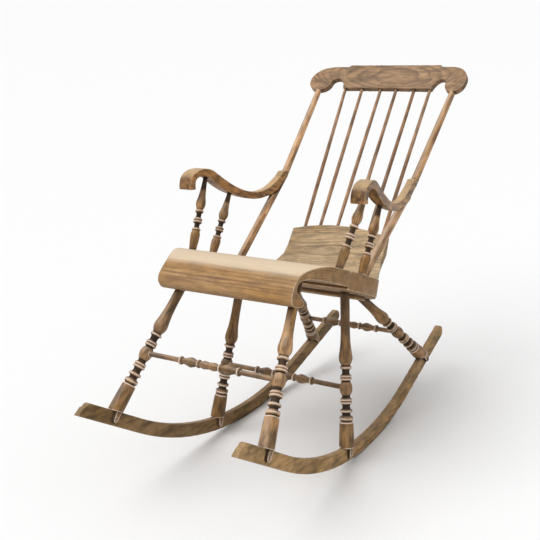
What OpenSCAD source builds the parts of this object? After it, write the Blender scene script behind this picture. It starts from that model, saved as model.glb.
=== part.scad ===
// Six-legged rocking chair. Millimetres, +Z up, sitter faces -Y, X is side to side.
// Design frame: the rockers touch the floor at y = 0, z = 0.

/* [Rockers] */
// radius of the rocker's bottom edge
rocker_radius = 815; // [600:5:1100]
// depth of the rocker board, top edge to bottom edge
rocker_height = 40; // [30:1:60]
// thickness of the rocker board
rocker_thick = 18; // [12:1:30]
// the arc runs this far each way, in degrees; past it the rocker is straight
rocker_arc = 26.6; // [18:1:35]
// straight front end beyond the arc
rocker_front = 248; // [100:2:320]
// straight rear end beyond the arc
rocker_rear = 300; // [100:2:360]
// half the distance between the two rockers, at the contact point
rocker_half_gauge = 224; // [180:1:280]
// each rocker turns in towards the rear by this angle
rocker_toe = 2.7; // [0:0.1:5]

/* [Legs] */
// widest plain diameter, just above the rocker
leg_dia = 42; // [34:1:50]
// diameter where the leg enters the seat
leg_top_dia = 26; // [20:1:34]
// depth of the leg's round end in the seat
leg_socket = 26; // [15:1:30]
// depth of the rear leg's end, which enters the seat at a shallow angle
leg_rear_socket = 58; // [40:1:70]
// thickness of each cheek that laps the rocker
cheek_thick = 8; // [4:0.5:12]
// length of the cheek below the rocker's top edge
cheek_length = 30; // [20:1:36]
// width of the cheek at the rocker's top edge
cheek_width = 18; // [12:1:26]
// diameter of the pegs through the cheeks
leg_peg_dia = 7; // [5:0.5:10]

/* [Stretchers] */
// widest diameter of the turned cross stretchers
stretcher_dia = 27; // [20:1:36]
// diameter of the plain rod part
stretcher_rod = 14; // [10:1:20]
// depth of each stretcher end in the leg
stretcher_socket = 14; // [8:1:18]

/* [Seat] */
// the seat leans back by this angle
seat_tilt = 17; // [5:0.5:22]
// height of the seat's top plane above the floor, over the contact point
seat_height = 525; // [420:1:600]
// thickness of the front board
seat_front_thick = 42; // [28:1:50]
// thickness of the rear board
seat_rear_thick = 50; // [35:1:60]
// where the front board meets the rear board, measured along the seat
seat_seam = -80; // [-120:1:-40]
// where the back panel meets the rear board
panel_seam = 150; // [110:1:180]
// height of the upswept panel above the seat plane, at its middle
panel_rise = 161; // [100:1:200]
// drop of the panel's top edge from the middle to each end
panel_arch = 22; // [0:1:40]
// half the length of the panel
panel_half = 169; // [150:1:185]
// depth of the batten under the seat
batten_thick = 12; // [8:1:24]

/* [Back] */
// lean of the crest rail from upright, in degrees
crest_lean = 42; // [20:1:48]
// thickness of the crest rail
crest_thick = 18; // [16:1:30]
// radius of the crest rail's bend, seen from above
crest_bow = 1200; // [700:10:3000]
// diameter of the stiles where they enter the seat
stile_foot_dia = 23; // [18:1:30]
// diameter of the stiles under the crest rail
stile_top_dia = 19; // [14:1:26]
// diameter of the stiles' round ends
stile_pin = 12; // [9:0.5:13]
// largest diameter of the back spindles
spindle_dia = 12; // [9:0.5:16]
// diameter of the back spindles at their ends
spindle_end_dia = 10; // [8:0.5:12]
// depth of the spindle and stile ends in the wood
spindle_socket = 24; // [12:1:40]

/* [Arms] */
// width of the arm at its front
arm_width = 44; // [30:1:60]
// width of the arm where it laps the stile
arm_rear_width = 24; // [16:1:34]
// widest diameter of the arm supports
support_dia = 27; // [20:1:36]
// depth of the arm supports' ends in the seat and the arm
support_socket = 12; // [8:1:15]
// diameter of the arm supports' ends
support_pin = 13; // [9:0.5:15]

/* [Fits] */
// radial clearance of every round end in its socket
socket_gap = 0.05; // [0:0.01:0.3]
// clearance each side of the rocker in the leg's fork
fork_gap = 0.05; // [0:0.01:0.3]

/* [Rest] */
// lean of the whole chair, back on its rockers, at which it balances
rest_lean = 9.35; // [0:0.1:14]

/* [Hidden] */
$fn = 64;
arc_steps = 360;

// ---------- points and curves ----------

// a smooth curve through pts; k pieces between each two points
function curve_at(a, b, c, d, t) =
    0.5 * ((2 * b) + (c - a) * t + (2 * a - 5 * b + 4 * c - d) * t * t
    + (3 * b - a - 3 * c + d) * t * t * t);
function curve(pts, k = 6) = [
    for (i = [0 : len(pts) - 2])
        for (j = [0 : k - 1])
            curve_at(pts[max(i - 1, 0)], pts[i], pts[i + 1],
                pts[min(i + 2, len(pts) - 1)], j / k),
    pts[len(pts) - 1]
];
function flip(pts) = [for (i = [len(pts) - 1 : -1 : 0]) pts[i]];
function mirrored(pts) = [for (p = flip(pts)) [-p[0], p[1]]];

// a point given along and square to the seat, in the design frame
function seat_point(x, u, w) = [
    x,
    u * cos(seat_tilt) + w * sin(seat_tilt),
    seat_height - u * sin(seat_tilt) + w * cos(seat_tilt)
];
// a point on the crest rail's middle plane: h runs up the rail
crest_base = [604, 1010];
crest_low = -9;
function crest_point(x, h) = [
    x,
    crest_base[0] + h * sin(crest_lean) - x * x / (2 * crest_bow * cos(crest_lean)),
    crest_base[1] + h * cos(crest_lean)
];
function rocker_x(y) = rocker_half_gauge - y * tan(rocker_toe);

// ---------- placing ----------

// the chair rolls back on its rockers to where it balances, and its box is
// centred on the Y axis
function rested_y(y, z) = y * cos(rest_lean) + (z - rocker_radius) * sin(rest_lean);
tip_y = -rocker_radius * sin(rocker_arc) - rocker_front * cos(rocker_arc);
tip_z = rocker_radius * (1 - cos(rocker_arc)) + rocker_front * sin(rocker_arc);
front_y = rested_y(tip_y * cos(rocker_toe) - rocker_thick / 2 * sin(rocker_toe), tip_z);
crest_high = 88.5;
crest_back = crest_point(0, crest_high)
    + crest_thick / 2 * [0, cos(crest_lean), -sin(crest_lean)];
box_shift = -(front_y + rested_y(crest_back[1], crest_back[2])) / 2;
module rest()
    translate([0, box_shift, rocker_radius]) rotate([-rest_lean, 0, 0])
        translate([0, 0, -rocker_radius]) children();
module left() mirror([1, 0, 0]) children();

// stands a piece drawn along +Z on point a, pointing at point b
module along(a, b) {
    d = b - a;
    r = norm([d[0], d[1]]);
    translate(a)
        rotate([0, 0, atan2(d[1], d[0])])
            rotate([0, atan2(r, d[2]), 0])
                children();
}
module pin(a, b, dia) along(a, b) cylinder(h = norm(b - a), d = dia);
module in_seat_frame()
    translate([0, 0, seat_height]) rotate([-seat_tilt, 0, 0]) children();
module in_crest_frame()
    translate([0, crest_base[0], crest_base[1]])
        rotate([-crest_lean, 0, 0]) children();
// draws a Y-Z outline as a board of thickness t about X = 0
module board(t) rotate([90, 0, 90]) linear_extrude(t, center = true) children();
// draws an X-Z outline as a board of thickness t, from y = -t / 2
module face_board(t)
    rotate([90, 0, 0]) linear_extrude(t, center = true) children();
module turned(profile) rotate_extrude() polygon(profile);

// ---------- rockers ----------

rocker_front_end = rocker_radius * [sin(-rocker_arc), 1 - cos(rocker_arc)];
rocker_rear_end = rocker_radius * [sin(rocker_arc), 1 - cos(rocker_arc)];

// the band between the rocker's top edge and a line "extra" below its bottom
module rocker_band(extra, front, rear) {
    outer = rocker_radius + extra;
    inner = rocker_radius - rocker_height;
    reach = 2 * outer;
    intersection() {
        translate([0, rocker_radius]) difference() {
            circle(r = outer, $fn = arc_steps);
            circle(r = inner, $fn = arc_steps);
        }
        polygon([
            [0, rocker_radius],
            [-reach * tan(rocker_arc), rocker_radius - reach],
            [reach * tan(rocker_arc), rocker_radius - reach],
        ]);
    }
    translate(rocker_front_end) rotate(-rocker_arc)
        translate([-front, -extra]) square([front, rocker_height + extra]);
    translate(rocker_rear_end) rotate(rocker_arc)
        translate([0, -extra]) square([rear, rocker_height + extra]);
}
tip_round = 14;
tip_back = 20;
module rocker_outline() {
    difference() {
        rocker_band(0, rocker_front, rocker_rear - rocker_height / 2);
        translate(rocker_front_end) rotate(-rocker_arc)
            translate([-rocker_front, 0]) difference() {
                polygon([[-9, -1], [0, 0], [tip_back, rocker_height + 1],
                    [tip_back + 14, rocker_height + 9], [-9, rocker_height + 9]]);
            }
        translate(rocker_front_end) rotate(-rocker_arc)
            translate([-rocker_front, 0]) difference() {
                translate([-5, rocker_height - tip_round])
                    square([tip_back + tip_round + 3, tip_round + 5]);
                translate([tip_back + tip_round - 2, rocker_height - tip_round])
                    circle(r = tip_round);
                translate([tip_back + tip_round - 2, 0])
                    square([40, rocker_height]);
            }
    }
    translate(rocker_rear_end) rotate(rocker_arc)
        translate([rocker_rear - rocker_height / 2, rocker_height / 2])
            circle(d = rocker_height);
}
module rocker_place()
    translate([rocker_half_gauge, 0, 0]) rotate([0, 0, rocker_toe]) children();
module rocker() {
    color("#9c7f52") difference() {
        rocker_place() board(rocker_thick) rocker_outline();
        leg_pegs_right(leg_peg_dia + 2 * socket_gap);
    }
}

// ---------- legs ----------

// foot: on the rocker's middle plane at its top edge; top: on the seat's underside
leg_foot = [[0, -447, 172], [0, -26, 41], [0, 475, 183]];
leg_top = [[172, -196, 537], [176, 36, 464], [118, 233, 402]];
leg_peg_drop = 24;
function foot(i) = [rocker_x(leg_foot[i][1]), leg_foot[i][1], leg_foot[i][2]];
function leg_dir(i) = (leg_top[i] - foot(i)) / norm(leg_top[i] - foot(i));
function socket(i) = i == 2 ? leg_rear_socket : leg_socket;

// heights up the leg of the turned features, from the rocker's top edge
ring_base = [80, 69, 46];
function leg_profile(i) = let (
        b = ring_base[i],
        r = leg_dia / 2,
        t = leg_top_dia / 2,
        top = norm(leg_top[i] - foot(i)) + socket(i)
    ) concat(
        [[0, -60], [r, -60]],
        curve([[r, -10], [r - 0.2, 20], [r - 1.6, b - 8], [r - 2.2, b - 1]], 3),
        [[r - 6.5, b]],
        curve([[r - 6.5, b + 2], [r - 3.2, b + 4], [r - 2, b + 9], [r - 3.2, b + 14],
            [r - 7, b + 16]], 3),
        curve([[r - 9.4, b + 18.5], [r - 9.6, b + 22], [r - 8, b + 25.5]], 3),
        curve([[r - 4.6, b + 26.5], [r - 3, b + 30], [r - 4.6, b + 33.5]], 3),
        curve([[r - 9, b + 35.5], [r - 10.4, b + 42], [r - 9, b + 48.5]], 3),
        curve([[r - 5.4, b + 49.5], [r - 3.4, b + 53], [r - 6, b + 56.5]], 3),
        curve([[r - 6, b + 57.5], [r - 3.8, b + 61], [r - 6, b + 64.5]], 3),
        curve([[r - 9.8, b + 67], [r - 9.6, b + 72], [r - 6, b + 79], [r - 3.4, b + 87],
            [r - 3, b + 94], [r - 4.2, b + 102], [r - 7.4, b + 109], [r - 10, b + 113]], 4),
        curve([[r - 6.6, b + 115], [r - 4, b + 118.5], [r - 6.6, b + 122]], 3),
        curve([[r - 6.6, b + 123], [r - 4.4, b + 126.5], [r - 7, b + 130]], 3),
        curve([[r - 10.4, b + 132.5], [r - 10.8, b + 139], [r - 9.4, b + 145.5]], 3),
        curve([[r - 6, b + 147], [r - 4.2, b + 150.5], [r - 6.4, b + 154]], 3),
        curve([[r - 9, b + 156], [r - 6.4, b + 161], [r - 2.8, b + 170], [r - 1.8, b + 180],
            [r - 3.8, b + 194], [t + 1.6, b + 214], [t + 0.5, b + 236],
            [t, b + 252]], 5),
        [[t, top], [0, top]]
    );

// the turned leg before its foot is forked
module leg_blank(i) along(foot(i), leg_top[i]) turned(leg_profile(i));

// in the rocker's own plane: the region of the cheek, leaning with the leg
module cheek_outline(i) {
    lean = atan2(leg_dir(i)[1], leg_dir(i)[2]);
    tip = cheek_width / 2 - 2;
    translate([leg_foot[i][1] / cos(rocker_toe), leg_foot[i][2]]) rotate(-lean) {
        polygon([[-cheek_width / 2, 30], [cheek_width / 2, 30],
            [cheek_width / 2, 0], [tip, tip - cheek_length],
            [-tip, tip - cheek_length], [-cheek_width / 2, 0]]);
        translate([0, tip - cheek_length]) circle(r = tip);
    }
}
module leg_fork_cut(i) rocker_place() {
    board(rocker_thick + 2 * fork_gap) rocker_band(120, 400, 400);
    board(120) difference() {
        rocker_band(120, 400, 400);
        cheek_outline(i);
    }
    for (s = [-1, 1])
        translate([s * (rocker_thick / 2 + cheek_thick + 30), 0, 0])
            board(60) rocker_band(120, 400, 400);
}
function peg_mid(i) = foot(i) - leg_peg_drop * leg_dir(i) * 0.8;
module leg_peg(i, dia) {
    m = peg_mid(i);
    reach = rocker_thick / 2 + cheek_thick;
    y = m[1] / cos(rocker_toe);
    rocker_place() translate([-reach, y, m[2]]) rotate([0, 90, 0])
        cylinder(h = 2 * reach, d = dia);
}
module leg_pegs_right(dia) for (i = [0 : 2]) leg_peg(i, dia);
module leg(i) {
    color("#8a6c45") difference() {
        leg_blank(i);
        leg_fork_cut(i);
        leg_peg(i, leg_peg_dia + 2 * socket_gap);
        stretcher_tenons(i, stretcher_rod + 2 * socket_gap);
    }
}
module leg_peg_set() color("#6f5533") {
    leg_pegs_right(leg_peg_dia);
    left() leg_pegs_right(leg_peg_dia);
}

// ---------- stretchers ----------

// height up each leg of the stretcher's axis
stretcher_rise = [174, 163, 140];
function bulb(i) = foot(i) + stretcher_rise[i] * leg_dir(i);
function stretcher_half(i) = bulb(i)[0] - leg_dia / 2 + 5 + stretcher_socket;

module stretcher_tenons(i, dia) {
    h = stretcher_half(i);
    translate([0, bulb(i)[1], bulb(i)[2]]) rotate([0, 90, 0])
        translate([0, 0, -h]) cylinder(h = 2 * h, d = dia);
}
function stretcher_profile(i) = let (
        h = stretcher_half(i),
        r = stretcher_rod / 2,
        m = stretcher_dia / 2,
        half = concat(
            [[0, 0]],
            curve([[r + 1.6, 0], [r + 2.6, 3], [m - 3, 10], [m - 2.4, 17],
                [m - 4.4, 24], [r + 1, 30]], 3),
            curve([[r + 3.4, 32], [r + 4.6, 35], [r + 3.4, 38]], 3),
            curve([[r + 1, 41], [r + 1.6, 44], [m - 2, 52], [m, 59], [m - 1, 66],
                [r + 2, 78], [r + 0.6, 84]], 3),
            curve([[r + 0.6, 88], [r + 3.4, 90], [r + 4.6, 94], [r + 3.4, 98],
                [r + 0.4, 100]], 3),
            [[r, 106], [r, h], [0, h]]
        )
    ) half;
module stretcher(i) {
    h = stretcher_half(i);
    color("#8d6f48")
        translate([0, bulb(i)[1], bulb(i)[2]]) rotate([0, 90, 0]) {
            turned(stretcher_profile(i));
            mirror([0, 0, 1]) turned(stretcher_profile(i));
        }
}

// ---------- seat ----------

roll_outer = [[-110, 0], [-150, -0.5], [-178, -3], [-205, -10], [-230, -22], [-251, -38],
    [-264, -55], [-273, -72], [-278, -90], [-277, -103], [-271, -113], [-262, -119],
    [-252, -121]];
roll_inner = [[-252, -121], [-240, -120], [-231, -113], [-232, -104], [-240, -95], [-250, -87],
    [-257, -79], [-258, -70], [-253, -61], [-243, -52], [-226, -46], [-205, -43], [-180, -42]];
seat_side = [[224, -300], [219, -280], [216, -265], [218, -252], [225, -236], [238, -208],
    [250, -178], [256, -140], [260, -90], [262, -30], [261, 30], [255, 78], [244, 112],
    [226, 146], [205, 180], [187, 214], [177, 236]];
// past the curve the panel's flanks are straight, and its back corners are cut
seat_end = [[panel_half + 2, 243], [panel_half, 254], [panel_half, 278],
    [panel_half - 30, 306], [panel_half - 30, 400]];
panel_front = [[panel_seam, 0], [178, 3], [204, 13], [225, 30], [239, 48], [248, 66],
    [257, 90], [264, 114], [271, 138], [277, 165]];
panel_back = [[308, 165], [300, 138], [290, 114], [281, 90], [270, 66], [261, 48], [253, 30],
    [247, 12], [244, -8], [243, -seat_rear_thick]];

// a slab over the seat's plan, in the seat frame
module seat_plan(z0, z1) {
    side = concat([[seat_side[0][0], -400]], curve(seat_side, 5), seat_end);
    translate([0, 0, z0]) linear_extrude(z1 - z0)
        polygon(concat(side, mirrored(side)));
}
module seat_cut(outline) {
    intersection() {
        board(640) polygon(outline);
        seat_plan(-150, 200);
    }
}
module front_board() {
    color("#d9b67f") difference() {
        in_seat_frame() seat_cut(concat(
            [[seat_seam, 0]], curve(roll_outer, 5), curve(roll_inner, 5),
            [[seat_seam, -seat_front_thick]]));
        leg_hole(0);
        support_hole(0);
    }
}
module rear_board() {
    color("#cfae7a") difference() {
        in_seat_frame() seat_cut([[seat_seam, 0], [panel_seam, 0],
            [panel_seam, -seat_rear_thick], [seat_seam, -seat_rear_thick]]);
        leg_hole(1);
        support_hole(1);
        stile_hole(0);
    }
}
module panel_top_face() {
    r = (panel_half * panel_half + panel_arch * panel_arch) / (2 * panel_arch);
    intersection() {
        translate([0, panel_rise - r]) circle(r = r, $fn = arc_steps);
        translate([-panel_half - 100, -60])
            square([2 * panel_half + 200, panel_rise + 80]);
    }
}
module back_panel() {
    color("#d3b484") difference() {
        in_seat_frame() {
            intersection() {
                seat_cut(concat(curve(panel_front, 5), curve(panel_back, 5),
                    [[panel_seam, -seat_rear_thick]]));
                translate([0, 220, 0]) face_board(400) panel_top_face();
            }
            for (s = [-1, 1]) leg_block(s);
        }
        leg_hole(2);
        spindle_holes(0);
    }
}
leg_block_x = 117;

// the wood behind the panel's foot that takes a rear leg's end
module leg_block(s)
    translate([s * leg_block_x, 0, 0]) board(46)
        polygon([[230, -seat_rear_thick], [290, -seat_rear_thick], [290, -24], [262, -6],
            [230, -6]]);
module batten() {
    color("#b99662") {
        in_seat_frame() translate([-176, 118, -seat_rear_thick - batten_thick])
            cube([352, 58, batten_thick]);
    }
}
// the round sockets, each side of the seat
module leg_hole(i) for (s = [0, 1]) mirror([s, 0, 0])
    pin(leg_top[i] - 40 * leg_dir(i), leg_top[i] + socket(i) * leg_dir(i),
        leg_top_dia + 2 * socket_gap);
module support_hole(i) for (s = [0, 1]) mirror([s, 0, 0])
    pin(past(support_top[i], support_foot[i], support_socket),
        past(support_top[i], support_foot[i], -20), support_pin + 2 * socket_gap);

// ---------- back ----------

stile_path = [[213, 57, 490], [227, 336, 738], [240, 561, 999]];
stile_dia = [stile_foot_dia, 23, stile_top_dia];
stile_bend = 1.5;
function past(a, b, e) = b + (b - a) / norm(b - a) * e;
module stile_half(a, b, d1, d2)
    along(a, b) translate([0, 0, stile_bend])
        cylinder(h = norm(b - a) - stile_bend, d1 = d1, d2 = d2);
module stile_solid() {
    p = stile_path;
    stile_half(p[1], p[0], stile_dia[1], stile_dia[0]);
    stile_half(p[1], p[2], stile_dia[1], stile_dia[2]);
    translate(p[1]) sphere(d = stile_dia[1] + 0.6);
    pin(past(p[1], p[0], -1), past(p[1], p[0], spindle_socket - 4), stile_pin);
    pin(past(p[1], p[2], -1), past(p[1], p[2], spindle_socket), stile_pin);
}
// the socket of a stile's foot (k = 0) or head (k = 2), and the way in to it
module stile_hole(k) for (s = [0, 1]) mirror([s, 0, 0]) {
    deep = k == 0 ? spindle_socket - 4 : spindle_socket;
    pin(past(stile_path[1], stile_path[k], deep), past(stile_path[1], stile_path[k], -2),
        stile_pin + 2 * socket_gap);
    pin(stile_path[k], past(stile_path[1], stile_path[k], -60),
        stile_dia[k] + 2 * socket_gap + 0.3);
}
module stile() {
    color("#a78457") difference() {
        stile_solid();
        arm_side();
        arm_peg(leg_peg_dia - 1 + 2 * socket_gap);
        crest_peg(leg_peg_dia + 2 * socket_gap);
    }
}

// the spindles stand on the panel's top edge and end in the crest rail
spindle_x = [[27, 28], [87, 94], [138, 152]];
// distance back along the seat of each spindle's foot, from the middle outwards
spindle_seat_u = [301, 298, 292];
function panel_top(x) = panel_rise - panel_arch * pow(x / panel_half, 2);
spindle_foot = [
    for (i = [0 : 2])
        seat_point(spindle_x[i][0], spindle_seat_u[i], panel_top(spindle_x[i][0]) + 2)
];
spindle_head = [for (p = spindle_x) crest_point(p[1], crest_low - 1)];
module spindle_holes(k) for (s = [0, 1]) mirror([s, 0, 0]) for (i = [0 : 2]) {
    a = k == 0 ? spindle_head[i] : spindle_foot[i];
    b = k == 0 ? spindle_foot[i] : spindle_head[i];
    pin(past(a, b, -30), past(a, b, spindle_socket), spindle_end_dia + 2 * socket_gap);
}
module spindle(i) {
    a = spindle_foot[i];
    b = spindle_head[i];
    len_ab = norm(b - a);
    s = spindle_socket;
    r = spindle_end_dia / 2;
    m = spindle_dia / 2;
    color("#a5855c") along(a, b) turned(concat(
        [[0, -s], [r, -s], [r, 0]],
        curve([[r, 4], [m - 0.2, len_ab * 0.15], [m, len_ab * 0.35],
            [m - 0.4, len_ab * 0.65], [r, len_ab - 4]], 4),
        [[r, len_ab], [r, len_ab + s], [0, len_ab + s]]));
}

// half of the crest rail's outline: x outwards, h up the rail
crest_half = [[0, crest_high], [50, crest_high], [100, crest_high], [150, crest_high],
    [163, 88], [168, 81.5], [195, 81], [222, 79.5], [243, 74], [259, 64], [270, 51], [276, 35],
    [276, 16], [271, 0], [259, -13], [243, -19], [226, -17], [212, -8], [205, 5], [204, 16],
    [199, 25], [189, 30], [178, 28], [168, 18], [161, 4], [158, crest_low], [120, crest_low],
    [80, crest_low], [40, crest_low]];
// lowers the outer points, so that the rail's edges stay level when it is bent
function bent(p) = [p[0], p[1] - p[0] * p[0] * tan(crest_lean) / (2 * crest_bow)];
module crest_outline() {
    run = concat([for (i = [0 : 4]) crest_half[i]],
        curve([for (i = [5 : 24]) crest_half[i]], 4), [for (i = [25 : 28]) crest_half[i]]);
    half = [for (p = run) bent(p)];
    last = len(half) - 1;
    polygon(concat(half, [[0, crest_low]], [for (i = [last : -1 : 1]) [-half[i][0], half[i][1]]]));
}
module crest_slab()
    translate([0, -crest_bow, -60]) difference() {
        cylinder(r = crest_bow + crest_thick / 2, h = 200, $fn = arc_steps * 2);
        translate([0, 0, -1])
            cylinder(r = crest_bow - crest_thick / 2, h = 202, $fn = arc_steps * 2);
    }
module crest() {
    color("#86694a") difference() {
        in_crest_frame() intersection() {
            face_board(200) crest_outline();
            crest_slab();
        }
        stile_hole(2);
        spindle_holes(2);
        for (s = [0, 1]) mirror([s, 0, 0]) crest_peg(leg_peg_dia + 2 * socket_gap);
    }
}
module crest_peg(dia) {
    out = 241;
    sag = out * out / (2 * crest_bow);
    in_crest_frame() translate([out, -sag, -22]) rotate([90, 0, atan(out / crest_bow) * -1])
        cylinder(h = crest_thick - 1, d = dia, center = true);
}

// ---------- arms ----------

arm_top = [[-91, 728], [-91, 745], [-84, 764], [-68, 777], [-46, 784], [-22, 785], [0, 779],
    [24, 765], [56, 746], [96, 725], [140, 708], [180, 700], [212, 700], [244, 707],
    [272, 720], [300, 737], [320, 753]];
arm_end = [[352, 753], [290, 694]];
arm_under = [[262, 684], [236, 681], [206, 677], [176, 678], [140, 685], [100, 697],
    [60, 713], [24, 734], [0, 752], [-20, 761], [-44, 764], [-62, 759], [-70, 748],
    [-70, 728]];
// plan: the arm's middle line runs in towards the rear
arm_front_x = 284;
arm_rear_x = 227;
arm_line = [[arm_front_x, -95], [arm_front_x - 4, -50], [271, 0], [258, 90],
    [245, 170], [234, 240], [arm_rear_x, 330], [arm_rear_x, 400]];
function arm_half(y) = arm_width / 2 - (arm_width - arm_rear_width) / 2
    * min(max((y + 55) / 210, 0), 1);
module arm_plan() {
    mid = curve(arm_line, 5);
    outer = [for (p = mid) [p[0] + arm_half(p[1]), p[1]]];
    inner = [for (p = flip(mid)) [p[0] - arm_half(p[1]), p[1]]];
    linear_extrude(1000) polygon(concat(outer, inner));
}
// the arm's side outline right through; the stile is halved to take it
module arm_side()
    translate([arm_rear_x, 0, 0]) board(200)
        polygon(concat(curve(arm_top, 5), arm_end, curve(arm_under, 5)));
module armrest() {
    color("#a77f4a") difference() {
        intersection() {
            arm_side();
            arm_plan();
        }
        for (i = [0, 1]) support_ends(i, 2 * socket_gap);
        arm_peg(leg_peg_dia - 1 + 2 * socket_gap);
    }
}
// the peg runs in from the stile's back, square to it
arm_peg_drop = 33;
module arm_peg(dia) {
    down = (stile_path[0] - stile_path[1]) / norm(stile_path[0] - stile_path[1]);
    in = [0, down[2], -down[1]];
    mid = past(stile_path[1], stile_path[0], arm_peg_drop);
    pin(mid - (stile_foot_dia / 2 - 0.5) * in, mid + 18 * in, dia);
}

support_foot = [[243, -113, 557], [253, -8, 527]];
support_top = [[269, -15, 756], [255, 84, 706]];
function support_profile(i) = let (
        h = norm(support_top[i] - support_foot[i]),
        r = support_dia / 2,
        e = support_pin / 2,
        k = h / 215
    ) concat(
        [[0, -support_socket], [e, -support_socket], [e, 0]],
        curve([[r - 3.6, 0], [r - 2.4, 12 * k], [r - 0.6, 32 * k], [r, 46 * k],
            [r - 1, 54 * k], [r - 3, 58 * k]], 3),
        curve([[r - 2, 59.5 * k], [r - 0.4, 62.5 * k], [r - 2, 65.5 * k]], 3),
        curve([[r - 5.6, 67.5 * k], [r - 6.2, 74 * k], [r - 5.4, 80 * k]], 3),
        curve([[r - 2, 81.5 * k], [r - 0.2, 84.8 * k], [r - 2.6, 88 * k]], 3),
        curve([[r - 2.6, 89 * k], [r - 0.2, 92.2 * k], [r - 2.4, 95.5 * k]], 3),
        curve([[r - 5.8, 97.5 * k], [r - 6.4, 105 * k], [r - 5.6, 111 * k]], 3),
        curve([[r - 2.6, 112.5 * k], [r - 0.8, 116 * k], [r - 3, 119.5 * k]], 3),
        curve([[r - 4.8, 121.5 * k], [r - 2, 127 * k], [r + 0.4, 136 * k],
            [r - 0.2, 146 * k], [r - 2.6, 158 * k], [e + 2, 178 * k],
            [e + 0.6, 196 * k], [e, h]], 4),
        [[e, h + support_socket], [0, h + support_socket]]
    );
module support_ends(i, grow) {
    a = support_foot[i];
    b = support_top[i];
    pin(past(b, a, support_socket), a, support_pin + grow);
    pin(b, past(a, b, support_socket), support_pin + grow);
}
module support(i) {
    color("#94764e") along(support_foot[i], support_top[i])
        turned(support_profile(i));
}

rest() rocker();  // rocker_right
rest() left() rocker();  // rocker_left
rest() leg(0);  // leg_front_right
rest() left() leg(0);  // leg_front_left
rest() leg(1);  // leg_middle_right
rest() left() leg(1);  // leg_middle_left
rest() leg(2);  // leg_rear_right
rest() left() leg(2);  // leg_rear_left
rest() leg_peg_set();  // leg_pegs
rest() stretcher(0);  // stretcher_front
rest() stretcher(1);  // stretcher_middle
rest() stretcher(2);  // stretcher_rear
rest() front_board();  // seat_front_board
rest() rear_board();  // seat_rear_board
rest() back_panel();  // seat_back_panel
rest() batten();  // seat_batten
rest() stile();  // stile_right
rest() left() stile();  // stile_left
rest() left() spindle(2);  // back_spindle_1
rest() left() spindle(1);  // back_spindle_2
rest() left() spindle(0);  // back_spindle_3
rest() spindle(0);  // back_spindle_4
rest() spindle(1);  // back_spindle_5
rest() spindle(2);  // back_spindle_6
rest() crest();  // crest_rail
rest() color("#6f5533") {  // crest_pegs
    crest_peg(leg_peg_dia);
    left() crest_peg(leg_peg_dia);
}
rest() armrest();  // armrest_right
rest() left() armrest();  // armrest_left
rest() color("#6f5533") {  // arm_pegs
    arm_peg(leg_peg_dia - 1);
    left() arm_peg(leg_peg_dia - 1);
}
rest() support(0);  // arm_support_front_right
rest() left() support(0);  // arm_support_front_left
rest() support(1);  // arm_support_rear_right
rest() left() support(1);  // arm_support_rear_left
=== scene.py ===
"""The looks of a worn pine rocking chair: softened edges, procedural wood and a studio."""

import math

import bpy
from mathutils import Matrix, Vector


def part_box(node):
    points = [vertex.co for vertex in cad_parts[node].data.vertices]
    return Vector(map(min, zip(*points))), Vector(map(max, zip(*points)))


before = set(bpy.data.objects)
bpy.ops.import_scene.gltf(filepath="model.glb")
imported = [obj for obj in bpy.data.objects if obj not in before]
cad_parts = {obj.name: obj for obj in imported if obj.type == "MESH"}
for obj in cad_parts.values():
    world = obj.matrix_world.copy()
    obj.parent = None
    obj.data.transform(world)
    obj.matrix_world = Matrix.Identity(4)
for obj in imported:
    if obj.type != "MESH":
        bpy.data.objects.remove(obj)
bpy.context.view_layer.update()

# ---------- where the chair stands ----------

# The design frame of the CAD source: the rockers' arc touches the floor at y = 0, and
# the whole chair then rolls back about the arc's centre to where it balances.
ROCKER_RADIUS = 0.815
REST_LEAN = math.radians(9.35)
CONTACT_Y = -0.0117
REST = (
    Matrix.Translation((0, CONTACT_Y, ROCKER_RADIUS))
    @ Matrix.Rotation(-REST_LEAN, 4, "X")
    @ Matrix.Translation((0, 0, -ROCKER_RADIUS))
)


def rested(x, y, z):
    """A point of the design frame, given in millimetres, where it is in the frame."""
    return REST @ Vector((x / 1000, y / 1000, z / 1000))


def rested_direction(x, y, z):
    return (REST.to_3x3() @ Vector((x, y, z))).normalized()


# ---------- wood ----------


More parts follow.
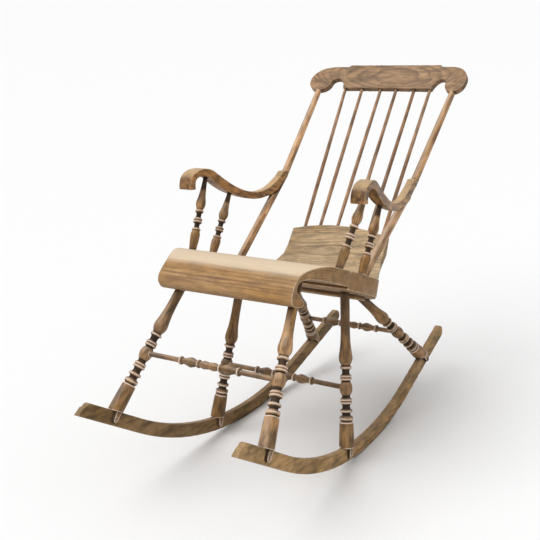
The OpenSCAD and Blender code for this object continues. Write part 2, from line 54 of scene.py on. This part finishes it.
class Nodes:
    """A short way to write shader nodes: each call adds a node and returns its output."""

    def __init__(self, material):
        material.use_nodes = True
        self.tree = material.node_tree
        self.shader = self.tree.nodes["Principled BSDF"]

    def link(self, value, socket):
        if hasattr(value, "links"):
            self.tree.links.new(value, socket)
        else:
            socket.default_value = value

    def add(self, kind, inputs, output=0, **settings):
        node = self.tree.nodes.new(kind)
        for name, value in settings.items():
            setattr(node, name, value)
        for name, value in inputs.items():
            self.link(value, node.inputs[name])
        return node.outputs[output]

    def math(self, operation, a, b=0.0, clamp=False):
        node = self.tree.nodes.new("ShaderNodeMath")
        node.operation = operation
        node.use_clamp = clamp
        self.link(a, node.inputs[0])
        self.link(b, node.inputs[1])
        return node.outputs[0]

    def times(self, a, b):
        return self.math("MULTIPLY", a, b)

    def plus(self, a, b, clamp=False):
        return self.math("ADD", a, b, clamp)

    def minus(self, a, b):
        return self.math("SUBTRACT", a, b)

    def inverse(self, value):
        return self.math("SUBTRACT", 1.0, value)

    def hypotenuse(self, a, b):
        return self.math("SQRT", self.plus(self.math("POWER", a, 2.0), self.math("POWER", b, 2.0)))

    def parts(self, vector):
        """The three outputs of a vector's x, y and z."""
        node = self.tree.nodes.new("ShaderNodeSeparateXYZ")
        self.link(vector, node.inputs[0])
        return node.outputs

    def noise(self, vector, scale, detail=3.0, rough=0.55):
        return self.add(
            "ShaderNodeTexNoise",
            {"Vector": vector, "Scale": scale, "Detail": detail, "Roughness": rough},
        )

    def ramp(self, value, low_end, high_end):
        """Nought below low_end, one above high_end, and smooth between."""
        return self.add(
            "ShaderNodeMapRange",
            {"Value": value, "From Min": low_end, "From Max": high_end},
            interpolation_type="SMOOTHSTEP",
        )

    def mix(self, share, a, b, blend="MIX"):
        node = self.tree.nodes.new("ShaderNodeMix")
        node.data_type = "RGBA"
        node.blend_type = blend
        node.clamp_factor = True
        self.link(share, node.inputs[0])
        self.link(a, node.inputs[6])
        self.link(b, node.inputs[7])
        return node.outputs[2]

    def squeeze(self, vector, x, y, z):
        return self.add(
            "ShaderNodeMapping", {"Vector": vector, "Scale": (x, y, z)}
        )


def srgb(r, g, b):
    """A colour as it looks, 0 to 255, as the linear numbers that a shader takes."""
    linear = [
        c / 12.92 if c <= 0.04045 else ((c + 0.055) / 1.055) ** 2.4
        for c in (r / 255, g / 255, b / 255)
    ]
    return (*linear, 1.0)


# Each finish: pale wood, late-wood lines, a dark colour for dirt in the grooves and for painted
# shade, a pale colour for rubbed edges and painted highlights, stain.
FINISHES = {
    "seat": dict(
        pale=srgb(166, 126, 75),
        line=srgb(110, 70, 31),
        dirt_and_shade=srgb(74, 52, 28),
        rub_and_highlight=srgb(234, 214, 186),
        stain=srgb(142, 105, 58),
        stain_share=0.5,
        gloss=0.5,
        contrast=0.5,
        top_wear_and_light=0.8,
        top_wear_and_light_from=0.84,
    ),
    "panel": dict(
        pale=srgb(190, 162, 122),
        line=srgb(84, 56, 30),
        dirt_and_shade=srgb(62, 42, 24),
        rub_and_highlight=srgb(214, 192, 160),
        stain=srgb(146, 113, 72),
        stain_share=0.65,
        gloss=0.5,
        contrast=0.85,
        top_wear_and_light=0.35,
        top_wear_and_light_from=0.5,
    ),
    "leg": dict(
        pale=srgb(141, 103, 54),
        line=srgb(86, 56, 22),
        dirt_and_shade=srgb(30, 18, 8),
        rub_and_highlight=srgb(226, 202, 182),
        stain=srgb(86, 63, 27),
        stain_share=0.9,
        gloss=0.36,
        contrast=1.15,
        top_wear_and_light=0.25,
        edge_from=0.6,
        top_wear_and_light_from=0.5,
    ),
    "rocker": dict(
        pale=srgb(154, 121, 74),
        line=srgb(95, 65, 31),
        dirt_and_shade=srgb(38, 26, 15),
        rub_and_highlight=srgb(186, 160, 128),
        stain=srgb(95, 73, 33),
        stain_share=0.9,
        gloss=0.5,
        contrast=0.95,
        top_wear_and_light=0.3,
        top_wear_and_light_from=0.5,
        end_dark=0.85,
    ),
    "arm": dict(
        pale=srgb(157, 114, 63),
        line=srgb(88, 53, 21),
        dirt_and_shade=srgb(40, 24, 12),
        rub_and_highlight=srgb(222, 192, 150),
        stain=srgb(106, 70, 30),
        stain_share=0.85,
        gloss=0.32,
        contrast=1.3,
        top_wear_and_light=0.55,
        top_wear_and_light_from=0.5,
    ),
    "stile": dict(
        pale=srgb(184, 145, 102),
        line=srgb(112, 73, 40),
        dirt_and_shade=srgb(50, 32, 18),
        rub_and_highlight=srgb(224, 202, 182),
        stain=srgb(140, 99, 60),
        stain_share=0.75,
        gloss=0.38,
        contrast=1.0,
        top_wear_and_light=0.45,
        edge_from=0.1,
        top_wear_and_light_from=0.5,
    ),
    "spindle": dict(
        pale=srgb(167, 130, 96),
        line=srgb(102, 68, 40),
        dirt_and_shade=srgb(48, 30, 18),
        rub_and_highlight=srgb(208, 182, 158),
        stain=srgb(108, 74, 44),
        stain_share=0.8,
        gloss=0.42,
        contrast=1.1,
        top_wear_and_light=0.3,
        edge_from=0.0,
        top_wear_and_light_from=0.5,
    ),
    "crest": dict(
        pale=srgb(152, 117, 83),
        line=srgb(72, 48, 28),
        dirt_and_shade=srgb(44, 30, 20),
        rub_and_highlight=srgb(192, 164, 136),
        stain=srgb(109, 82, 51),
        stain_share=0.75,
        gloss=0.5,
        contrast=1.1,
        top_wear_and_light=0.3,
        top_wear_and_light_from=0.5,
    ),
    "peg": dict(
        pale=srgb(96, 70, 42),
        line=srgb(60, 42, 22),
        dirt_and_shade=srgb(30, 20, 12),
        rub_and_highlight=srgb(120, 92, 60),
        stain=srgb(74, 52, 30),
        stain_share=0.5,
        gloss=0.45,
        contrast=0.4,
        top_wear_and_light=0.0,
        edge_from=0.0,
        top_wear_and_light_from=0.5,
    ),
}

# how much lighter or darker a piece is than its finish: partly the piece's own tone, partly
# painted light and shade
TONE_AND_LIGHT = {
    "leg_front_right": 1.35,
    "leg_front_left": 0.95,
    "leg_middle_right": 0.85,
    "leg_middle_left": 0.82,
    "leg_rear_right": 1.1,
    "stretcher_front": 0.85,
    "stretcher_middle": 0.75,
    "stretcher_rear": 0.8,
    "arm_support_front_right": 1.35,
    "arm_support_rear_right": 1.3,
    "arm_support_front_left": 1.4,
    "arm_support_rear_left": 1.4,
    "armrest_left": 1.25,
    "armrest_right": 0.95,
    "stile_left": 1.35,
    "stile_right": 0.95,
    "rocker_right": 1.25,
    "rocker_left": 0.78,
}

RING_SPACING = 0.0042  # metres from one growth ring to the next
DIRT_AND_SHADE_REACH = 0.014  # how far from a crevice the dirt and painted shade spread
EDGE_REACH = 0.004  # how far from an edge the wood is rubbed pale and given a painted highlight
BEAD_HALF = 0.0017  # half the width of the pale line of wear and painted highlight along a turned bead's crown
EDGE_SPREAD = 0.3  # how gradually the rubbed edges and their painted highlight on a turned piece fade
FINE_WAVER = 0.007  # metres that the rings stray over a short distance
KNOT_SWELL = 3.2  # how far the rings bend round a knot, as a multiple of its size
BUMP_DEPTH = 0.0006


def square_part(axis, way):
    return way - axis * way.dot(axis)


def square_to(axis, way):
    return square_part(axis, way).normalized()


def growth_rings(n, local, shifted, place, rings, waver, knots):
    """The dark late wood of each ring, and the cores of the knots, nought to one each."""
    slow = n.noise(n.squeeze(shifted, 1.2, 7, 7), 1.0, detail=2.0)
    wander = n.noise(n.squeeze(shifted, 5, 26, 26), 1.0, detail=3.0)
    axes = n.parts(local)
    bent = n.hypotenuse(axes[1], axes[2])
    bent = n.plus(bent, n.times(n.minus(slow, 0.5), waver))
    bent = n.plus(bent, n.times(n.minus(wander, 0.5), FINE_WAVER))
    cores = 0.0
    for knot, size in knots:
        offset = n.add(
            "ShaderNodeVectorMath", {0: local, 1: place @ knot}, operation="SUBTRACT"
        )
        near = n.add(
            "ShaderNodeVectorMath", {0: n.squeeze(offset, 0.55, 1, 1)}, 1, operation="LENGTH"
        )
        swell = n.math("EXPONENT", n.math("DIVIDE", near, -size))
        bent = n.plus(bent, n.times(swell, KNOT_SWELL * size))
        core = n.inverse(n.ramp(near, 0.25 * size, 0.75 * size))
        cores = n.math("MAXIMUM", cores, core)
    phase = n.math("FRACT", n.math("DIVIDE", bent, rings))
    late = n.ramp(phase, 0.35, 0.93)
    late = n.times(late, n.inverse(n.ramp(phase, 0.95, 1.0)))
    strength = n.ramp(n.noise(n.squeeze(shifted, 2.5, 40, 40), 1.0, detail=1.0), 0.3, 0.72)
    return n.times(late, n.plus(n.times(strength, 0.75), 0.25)), cores


def crevice_dirt_and_shade(n, shifted):
    """Dirt and painted shade where surfaces meet, found by how soon a ray outwards meets wood."""
    shut_in = n.add(
        "ShaderNodeAmbientOcclusion", {"Distance": DIRT_AND_SHADE_REACH}, output=1, samples=8
    )
    crevice = n.inverse(n.ramp(shut_in, 0.58, 0.93))
    uneven = n.ramp(n.noise(shifted, 55.0, detail=3.0), 0.2, 0.65)
    return n.times(crevice, n.plus(n.times(uneven, 0.35), 0.65))


def rubbed_and_lit_edges(n, look, shifted, pointiness, dirt_and_shade):
    """Wood rubbed pale, with a painted highlight, on ridges and edges. A turned piece's are
    found by how soon a ray inwards leaves the wood, and a board's by how pointed its skin is."""
    if "edge_from" in look:
        solid = n.add(
            "ShaderNodeAmbientOcclusion",
            {"Distance": EDGE_REACH},
            output=1,
            samples=8,
            inside=True,
        )
        edge = n.inverse(n.ramp(solid, look["edge_from"], look["edge_from"] + EDGE_SPREAD))
    else:
        edge = n.ramp(pointiness, 0.515, 0.57)
    worn_and_lit = n.times(edge, n.ramp(n.noise(shifted, 38.0, detail=4.0), 0.2, 0.55))
    return n.times(worn_and_lit, n.inverse(n.times(dirt_and_shade, 0.7)))


def groove_dirt_and_shade(n, axes, off_axis, grooves):
    """Dirt and painted shade where a turned piece is thinner than grooves[0], gone by grooves[1].
    """
    radius = n.hypotenuse(n.plus(axes[1], off_axis), axes[2])
    return n.inverse(n.ramp(radius, *grooves))


def bead_crowns(n, axes, place, ridges):
    """One along the crown of each bead, falling away over BEAD_HALF: where wear and a painted
    highlight go.
    """
    crown = 0.0
    for bead in ridges:
        away = n.math("DIVIDE", n.minus(axes[0], (place @ bead).x), BEAD_HALF)
        line = n.math("EXPONENT", n.times(n.math("POWER", away, 2.0), -1.0))
        crown = n.math("MAXIMUM", crown, line)
    return crown


def wood(
    name,
    finish,
    origin,
    grain,
    heart,
    seed,
    rings=RING_SPACING,
    waver=0.02,
    knots=(),
    grooves=None,
    ridges=(),
):
    """Wood whose grain runs along `grain`. `heart` is a vector from origin to the
    tree's middle, and its part square to the grain sets how the growth rings cut the
    surface. `waver` is how far, in metres, the rings stray. Each knot is a place and a
    size. A turned piece has dirt and painted shade where its radius is under grooves[0],
    fading out to grooves[1], and wear and a painted highlight on the beads placed at `ridges`."""
    look = FINISHES[finish]
    material = bpy.data.materials.new(name)
    n = Nodes(material)

    # local coordinates: x along the grain, the tree's middle at y = z = 0
    along = grain.normalized()
    across = square_to(along, heart)
    turned = Matrix((along, across, along.cross(across))).to_4x4()
    place = turned @ Matrix.Translation(-(origin + heart))
    coords = n.add("ShaderNodeTexCoord", {}, output=3)
    local = n.add(
        "ShaderNodeMapping",
        {
            "Vector": coords,
            "Location": place.to_translation(),
            "Rotation": place.to_euler(),
        },
    )
    shifted = n.add("ShaderNodeVectorMath", {0: local, 1: (seed * 1.7, seed, -seed)})
    late, cores = growth_rings(n, local, shifted, place, rings, waver, knots)

    # fine fibres, pores and slow changes of colour
    fibre = n.noise(n.squeeze(shifted, 14, 900, 900), 1.0, detail=3.0, rough=0.6)
    pore = n.ramp(n.noise(n.squeeze(shifted, 30, 1300, 1300), 1.0, detail=2.0), 0.62, 0.74)
    patch = n.ramp(n.noise(shifted, 11.0, detail=4.0, rough=0.62), 0.42, 0.72)
    cloud = n.ramp(n.noise(n.squeeze(shifted, 3, 9, 9), 1.0, detail=3.0), 0.3, 0.7)
    speck = n.ramp(n.noise(shifted, 120.0, detail=3.0, rough=0.7), 0.66, 0.8)
    streak = n.ramp(n.noise(n.squeeze(shifted, 4, 260, 260), 1.0, detail=4.0), 0.45, 0.75)

    colour = n.mix(late, look["pale"], look["line"])
    colour = n.mix(n.times(streak, 0.55), colour, look["line"])
    colour = n.mix(n.times(fibre, 0.3), colour, look["line"])
    if knots:
        colour = n.mix(n.times(cores, 0.85), colour, look["dirt_and_shade"])
    colour = n.mix(n.times(patch, look["stain_share"]), colour, look["stain"])
    colour = n.mix(n.times(cloud, 0.12), colour, look["rub_and_highlight"])
    colour = n.mix(n.times(pore, 0.4), colour, look["dirt_and_shade"])
    colour = n.mix(n.times(speck, 0.35), colour, look["dirt_and_shade"])

    # blotches and each piece's tone, with painted light and shade; wear and painted light on
    # upward faces, painted shade on the undersides
    blotch = n.noise(n.squeeze(shifted, 16, 60, 60), 1.0, detail=4.0, rough=0.65)
    shade = n.times(n.ramp(blotch, 0.3, 0.7), look["contrast"])
    shade = n.plus(shade, 1 - look["contrast"] / 2)
    # each piece's tone, partly painted light and shade
    shade = n.times(shade, TONE_AND_LIGHT.get(name, 1.0))
    colour = n.add("ShaderNodeVectorMath", {0: colour, "Scale": shade}, operation="SCALE")
    geometry = n.tree.nodes.new("ShaderNodeNewGeometry")
    height_of_normal = n.parts(geometry.outputs["Normal"])[2]
    # wear and painted light on faces that look up
    upward = n.ramp(height_of_normal, look["top_wear_and_light_from"], 1.0)
    colour = n.mix(n.times(upward, look["top_wear_and_light"]), colour, look["rub_and_highlight"])
    # painted shade on faces that look down
    underside_shade = n.ramp(n.times(height_of_normal, -1.0), 0.1, 0.9)
    colour = n.mix(n.times(underside_shade, 0.35), colour, look["dirt_and_shade"])

    # sawn ends are darker
    end_on = n.add(
        "ShaderNodeVectorMath",
        {0: geometry.outputs["Normal"], 1: along},
        1,
        operation="DOT_PRODUCT",
    )
    sawn_end = n.ramp(n.math("ABSOLUTE", end_on), 0.6, 0.95)
    colour = n.mix(n.times(sawn_end, look.get("end_dark", 0.25)), colour, look["dirt_and_shade"])

    # dirt and painted shade in the corners, and wear and a painted highlight on the edges
    dirt_and_shade = crevice_dirt_and_shade(n, shifted)
    colour = n.mix(n.times(dirt_and_shade, 0.95), colour, look["dirt_and_shade"])
    worn_and_lit = rubbed_and_lit_edges(n, look, shifted, geometry.outputs["Pointiness"], dirt_and_shade)
    colour = n.mix(n.times(worn_and_lit, 0.9), colour, look["rub_and_highlight"])
    axes = n.parts(local)
    if grooves:
        # dirt and painted shade in a turned piece's grooves
        groove = groove_dirt_and_shade(n, axes, square_part(along, heart).length, grooves)
        colour = n.mix(n.times(groove, 0.88), colour, look["dirt_and_shade"])
        dirt_and_shade = n.math("MAXIMUM", dirt_and_shade, groove)
    if ridges:
        # wear and a painted highlight along each bead's crown
        crown_wear_and_highlight = n.ramp(n.noise(shifted, 45.0, detail=3.0), 0.25, 0.5)
        colour = n.mix(n.times(bead_crowns(n, axes, place, ridges), crown_wear_and_highlight), colour, look["rub_and_highlight"])
    n.link(colour, n.shader.inputs["Base Color"])

    rough = n.plus(n.times(fibre, 0.16), look["gloss"] - 0.04)
    rough = n.plus(rough, n.times(patch, 0.12))
    rough = n.plus(rough, n.times(dirt_and_shade, 0.3), clamp=True)
    n.link(rough, n.shader.inputs["Roughness"])
    n.shader.inputs["Specular IOR Level"].default_value = 0.28

    height = n.times(late, 0.35)
    height = n.plus(height, n.times(fibre, 0.4))
    height = n.minus(height, n.times(pore, 0.35))
    height = n.plus(height, n.times(n.noise(shifted, 42.0, detail=2.0), 0.9))
    bump = n.add(
        "ShaderNodeBump", {"Height": height, "Distance": BUMP_DEPTH, "Strength": 0.7}
    )
    n.link(bump, n.shader.inputs["Normal"])
    return material


# ---------- softened edges ----------

WELD_DISTANCE = 0.00002
BOARD_VOXEL = 0.0018
BATTEN_VOXEL = 0.0016
CARVED_VOXEL = 0.0014


def weld(piece):
    piece.modifiers.new("weld", "WELD").merge_threshold = WELD_DISTANCE


def soften(node, voxel, rounds):
    """Turns a sawn CAD solid into one even skin with hand-worn edges."""
    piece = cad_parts[node]
    weld(piece)
    remesh = piece.modifiers.new("remesh", "REMESH")
    remesh.mode = "VOXEL"
    remesh.voxel_size = voxel
    remesh.use_smooth_shade = True
    smooth = piece.modifiers.new("smooth", "SMOOTH")
    smooth.factor = 0.5
    smooth.iterations = rounds


def give(node, material):
    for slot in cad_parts[node].material_slots:
        slot.material = material


# ---------- the pieces ----------

X = Vector((1, 0, 0))
SEAT_TILT = math.radians(17)
SEAT_RINGS = 0.006
PANEL_RINGS = 0.0065
CREST_RINGS = 0.005
TURNED_RINGS = 0.005
PEG_RINGS = 0.002
seat_back = rested_direction(0, math.cos(SEAT_TILT), -math.sin(SEAT_TILT))
seat_up = rested_direction(0, math.sin(SEAT_TILT), math.cos(SEAT_TILT))


def middle_of(node):
    a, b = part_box(node)
    return (Vector(a) + Vector(b)) / 2


def long_axis(node):
    """The direction in which a piece is longest, from its own vertices."""
    points = [v.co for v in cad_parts[node].data.vertices]
    centre = sum(points, Vector()) / len(points)
    far = max(points, key=lambda p: (p - centre).length)
    other = max(points, key=lambda p: (p - far).length)
    return (far - other).normalized()


# the seat: three boards with their grain from side to side, and a batten under them
soften("seat_front_board", BOARD_VOXEL, 4)
soften("seat_rear_board", BOARD_VOXEL, 4)
soften("seat_back_panel", BOARD_VOXEL, 5)
soften("seat_batten", BATTEN_VOXEL, 3)
front = middle_of("seat_front_board")
front_heart = -0.2 * seat_up + 0.03 * seat_back
give(
    "seat_front_board",
    wood("seat_front", "seat", front, X, front_heart, 0.3, rings=SEAT_RINGS, waver=0.012),
)
rear = middle_of("seat_rear_board")
give(
    "seat_rear_board",
    wood("seat_rear", "seat", rear, X, -0.16 * seat_up, 2.1, rings=SEAT_RINGS, waver=0.015),
)
panel = middle_of("seat_back_panel")
panel_grain = (X + 0.12 * seat_up).normalized()
panel_heart = 0.05 * seat_back + 0.03 * seat_up
# knots right of the middle, each a distance right, a distance up and a size in metres
PANEL_KNOTS = ((0.055, 0.05, 0.011), (0.085, 0.022, 0.009), (0.118, 0.06, 0.012))
panel_knots = [
    (panel + Vector((right, 0, 0)) + rise * seat_up, size) for right, rise, size in PANEL_KNOTS
]
give(
    "seat_back_panel",
    wood(
        "seat_panel",
        "panel",
        panel,
        panel_grain,
        panel_heart,
        4.0,
        rings=PANEL_RINGS,
        waver=0.03,
        knots=panel_knots,
    ),
)
batten = middle_of("seat_batten")
give("seat_batten", wood("seat_batten", "seat", batten, X, -0.12 * seat_up, 5.5))

# the crest rail and the arms
soften("crest_rail", CARVED_VOXEL, 4)
crest = middle_of("crest_rail")
crest_heart = Vector((0, 0.07, -0.06))
give(
    "crest_rail",
    wood("crest", "crest", crest, X, crest_heart, 7.2, rings=CREST_RINGS, waver=0.03),
)
for side, name in ((1, "armrest_right"), (-1, "armrest_left")):
    soften(name, CARVED_VOXEL, 10)
    grain = square_to(X, rested_direction(-0.12 * side, 1, -0.25))
    give(name, wood(name, "arm", middle_of(name), grain, Vector((0, 0.02, -0.05)), 9 + side))

# the rockers, whose grain follows their length
for side, name in ((1, "rocker_right"), (-1, "rocker_left")):
    soften(name, BOARD_VOXEL, 5)
    grain = rested_direction(-0.047 * side, 1, 0)
    heart = Vector((0.03 * side, 0, 0.4))
    give(name, wood(name, "rocker", middle_of(name), grain, heart, 13 + side))

# the turnings: grain along each piece's axis, in the CAD source's own millimetres
HEART_WAY = Vector((0.6, 0.5, 0.45))
HEART_DISTANCE = 0.035
ROWS = ("front", "middle", "rear")
SIDES = (("right", 1), ("left", -1))
HALF_GAUGE = 224
ROCKER_TOE = math.radians(2.7)
LEG_FOOT = ((-447, 172), (-26, 41), (475, 183))
LEG_TOP = ((172, -196, 537), (176, 36, 464), (118, 233, 402))
LEG_RING_BASE = (80, 69, 46)
LEG_BEADS = (-2, 9, 30, 53, 61, 118.5, 126.5, 150.5)
LEG_GROOVES = (0.0118, 0.0136)
STRETCHER_RISE = (174, 163, 140)
STRETCHER_BEADS = (-94, -35, 35, 94)
SUPPORT_FOOT = ((243, -113, 557), (253, -8, 527))
SUPPORT_TOP = ((269, -15, 756), (255, 84, 706))
SUPPORT_BEADS = (0.291, 0.394, 0.429, 0.54)
SUPPORT_GROOVES = (0.0079, 0.0092)


def heart_beside(axis):
    return square_to(axis, HEART_WAY) * HEART_DISTANCE


def turn(name, foot, top, beads, grooves, seed):
    """Wood for a turned piece whose axis runs from foot to top; beads are millimetres up it."""
    start, end = rested(*foot), rested(*top)
    axis = (end - start).normalized()
    crowns = [start + axis * (bead / 1000) for bead in beads]
    material = wood(
        name,
        "leg",
        start,
        axis,
        heart_beside(axis),
        seed,
        rings=TURNED_RINGS,
        grooves=grooves,
        ridges=crowns,
    )
    give(name, material)


for row, (y, z) in enumerate(LEG_FOOT):
    for side, sign in SIDES:
        foot = (sign * (HALF_GAUGE - y * math.tan(ROCKER_TOE)), y, z)
        top = (sign * LEG_TOP[row][0], *LEG_TOP[row][1:])
        beads = [LEG_RING_BASE[row] + bead for bead in LEG_BEADS]
        turn(f"leg_{ROWS[row]}_{side}", foot, top, beads, LEG_GROOVES, 20 + 3 * row + sign)
    # the stretcher lies level, from side to side, that far up the legs' axes
    up = (Vector(top) - Vector(foot)).normalized() * STRETCHER_RISE[row] + Vector(foot)
    name = f"stretcher_{ROWS[row]}"
    turn(name, (0, up.y, up.z), (100, up.y, up.z), STRETCHER_BEADS, None, 31 + row)
for row, name in enumerate(("front", "rear")):
    length = (Vector(SUPPORT_TOP[row]) - Vector(SUPPORT_FOOT[row])).length
    beads = [length * share for share in SUPPORT_BEADS]
    for side, sign in SIDES:
        foot, top = ((sign * p[0], *p[1:]) for p in (SUPPORT_FOOT[row], SUPPORT_TOP[row]))
        turn(f"arm_support_{name}_{side}", foot, top, beads, SUPPORT_GROOVES, 37 + 3 * row + sign)

# the round pieces with no beads
ROUND = {
    "stile": ["stile_right", "stile_left"],
    "spindle": [f"back_spindle_{i}" for i in range(1, 7)],
}
for finish, names in ROUND.items():
    for i, name in enumerate(names):
        axis = long_axis(name)
        seed = 20 + 1.3 * i
        material = wood(
            name, finish, middle_of(name), axis, heart_beside(axis), seed, rings=TURNED_RINGS
        )
        give(name, material)
        weld(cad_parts[name])
for name in ("leg_pegs", "crest_pegs", "arm_pegs"):
    heart = Vector((0, 0.01, 0.01))
    give(name, wood(name, "peg", middle_of(name), X, heart, 41.0, rings=PEG_RINGS))

# ---------- studio ----------

scene = bpy.context.scene
scene.view_settings.view_transform = "Standard"


def plain(name, colour, roughness):
    material = bpy.data.materials.new(name)
    material.use_nodes = True
    shader = material.node_tree.nodes["Principled BSDF"]
    shader.inputs["Base Color"].default_value = colour
    shader.inputs["Roughness"].default_value = roughness
    return material


FLOOR_SIZE = 600.0
bpy.ops.mesh.primitive_plane_add(size=FLOOR_SIZE, location=(0, 0, 0))
floor = bpy.context.object
floor.name = "floor"
floor.data.materials.append(plain("floor_paint", (0.9, 0.9, 0.9, 1), 0.8))

world = bpy.data.worlds.new("studio")
scene.world = world
world.use_nodes = True
sky = world.node_tree.nodes["Background"]
sky.inputs["Color"].default_value = (1, 1, 1, 1)
sky.inputs["Strength"].default_value = 0.62


def soft_box(name, place, aim, size, power):
    data = bpy.data.lights.new(name, "AREA")
    data.shape = "DISK"
    data.size = size
    data.energy = power
    lamp = bpy.data.objects.new(name, data)
    scene.collection.objects.link(lamp)
    lamp.location = place
    lamp.rotation_euler = (Vector(aim) - Vector(place)).to_track_quat("-Z", "Y").to_euler()


def soft_sun(name, direction, angle, strength):
    data = bpy.data.lights.new(name, "SUN")
    data.angle = math.radians(angle)
    data.energy = strength
    lamp = bpy.data.objects.new(name, data)
    scene.collection.objects.link(lamp)
    lamp.rotation_euler = Vector(direction).to_track_quat("-Z", "Y").to_euler()


soft_sun("key", (0.55, 0.75, -1.5), 50, 1.8)
soft_box("fill", (3.0, -2.4, 1.6), (0, 0, 0.4), 2.5, 8)

# ---------- camera ----------

CAMERA_PLACE = (1561, -2345, 1063)  # design frame, millimetres
CAMERA_TURN = math.radians(34.5)  # from straight ahead towards the chair's +X side
CAMERA_DIP = math.radians(11.1)  # looking down
LENS, SENSOR = 67.65, 36.0
ahead = rested_direction(
    -math.sin(CAMERA_TURN) * math.cos(CAMERA_DIP),
    math.cos(CAMERA_TURN) * math.cos(CAMERA_DIP),
    -math.sin(CAMERA_DIP),
)
sideways = rested_direction(math.cos(CAMERA_TURN), math.sin(CAMERA_TURN), 0)
upwards = sideways.cross(ahead)
data = bpy.data.cameras.new("camera")
data.lens = LENS
data.sensor_width = SENSOR
camera = bpy.data.objects.new("camera", data)
scene.collection.objects.link(camera)
camera.matrix_world = (
    Matrix.Translation(rested(*CAMERA_PLACE))
    @ Matrix((sideways, upwards, -ahead)).transposed().to_4x4()
)
scene.camera = camera
